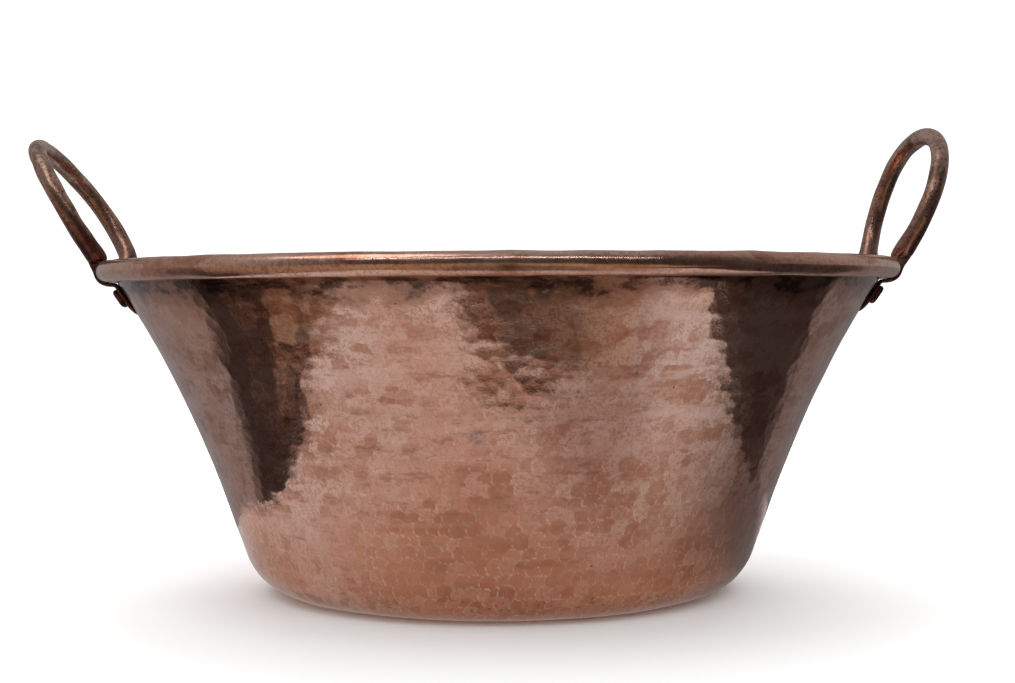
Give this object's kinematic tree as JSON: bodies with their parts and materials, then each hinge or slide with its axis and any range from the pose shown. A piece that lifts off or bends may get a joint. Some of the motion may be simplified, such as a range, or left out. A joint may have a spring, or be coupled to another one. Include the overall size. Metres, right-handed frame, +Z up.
{
  "type": "hammered copper bowl",
  "caption": "Flared cauldron-shaped bowl of hammered copper with a wired, rolled rim and round loop handles riveted outside its wall.",
  "frame": {"origin": "centre of the flat base, on the surface the bowl stands on", "axes": "+Z up along the bowl's axis, +X towards the right-hand handle, -Y towards the viewer"},
  "size_m": [0.573, 0.5, 0.29],
  "materials": {
    "copper_sheet": "hammered and hand-polished copper, satin with a soft shine",
    "copper_rod": "forged copper rod with dark brown patina, worn bright on top",
    "copper_rivet": "dark hammered copper",
    "steel_wire": "plain drawn wire, not visible"
  },
  "bodies": {
    "root": {"bowl": "copper_sheet", "rim_wire": "steel_wire", "handle_left": "copper_rod", "handle_right": "copper_rod", "rivet_left_front": "copper_rivet", "rivet_left_back": "copper_rivet", "rivet_right_front": "copper_rivet", "rivet_right_back": "copper_rivet"}
  },
  "joints": []
}
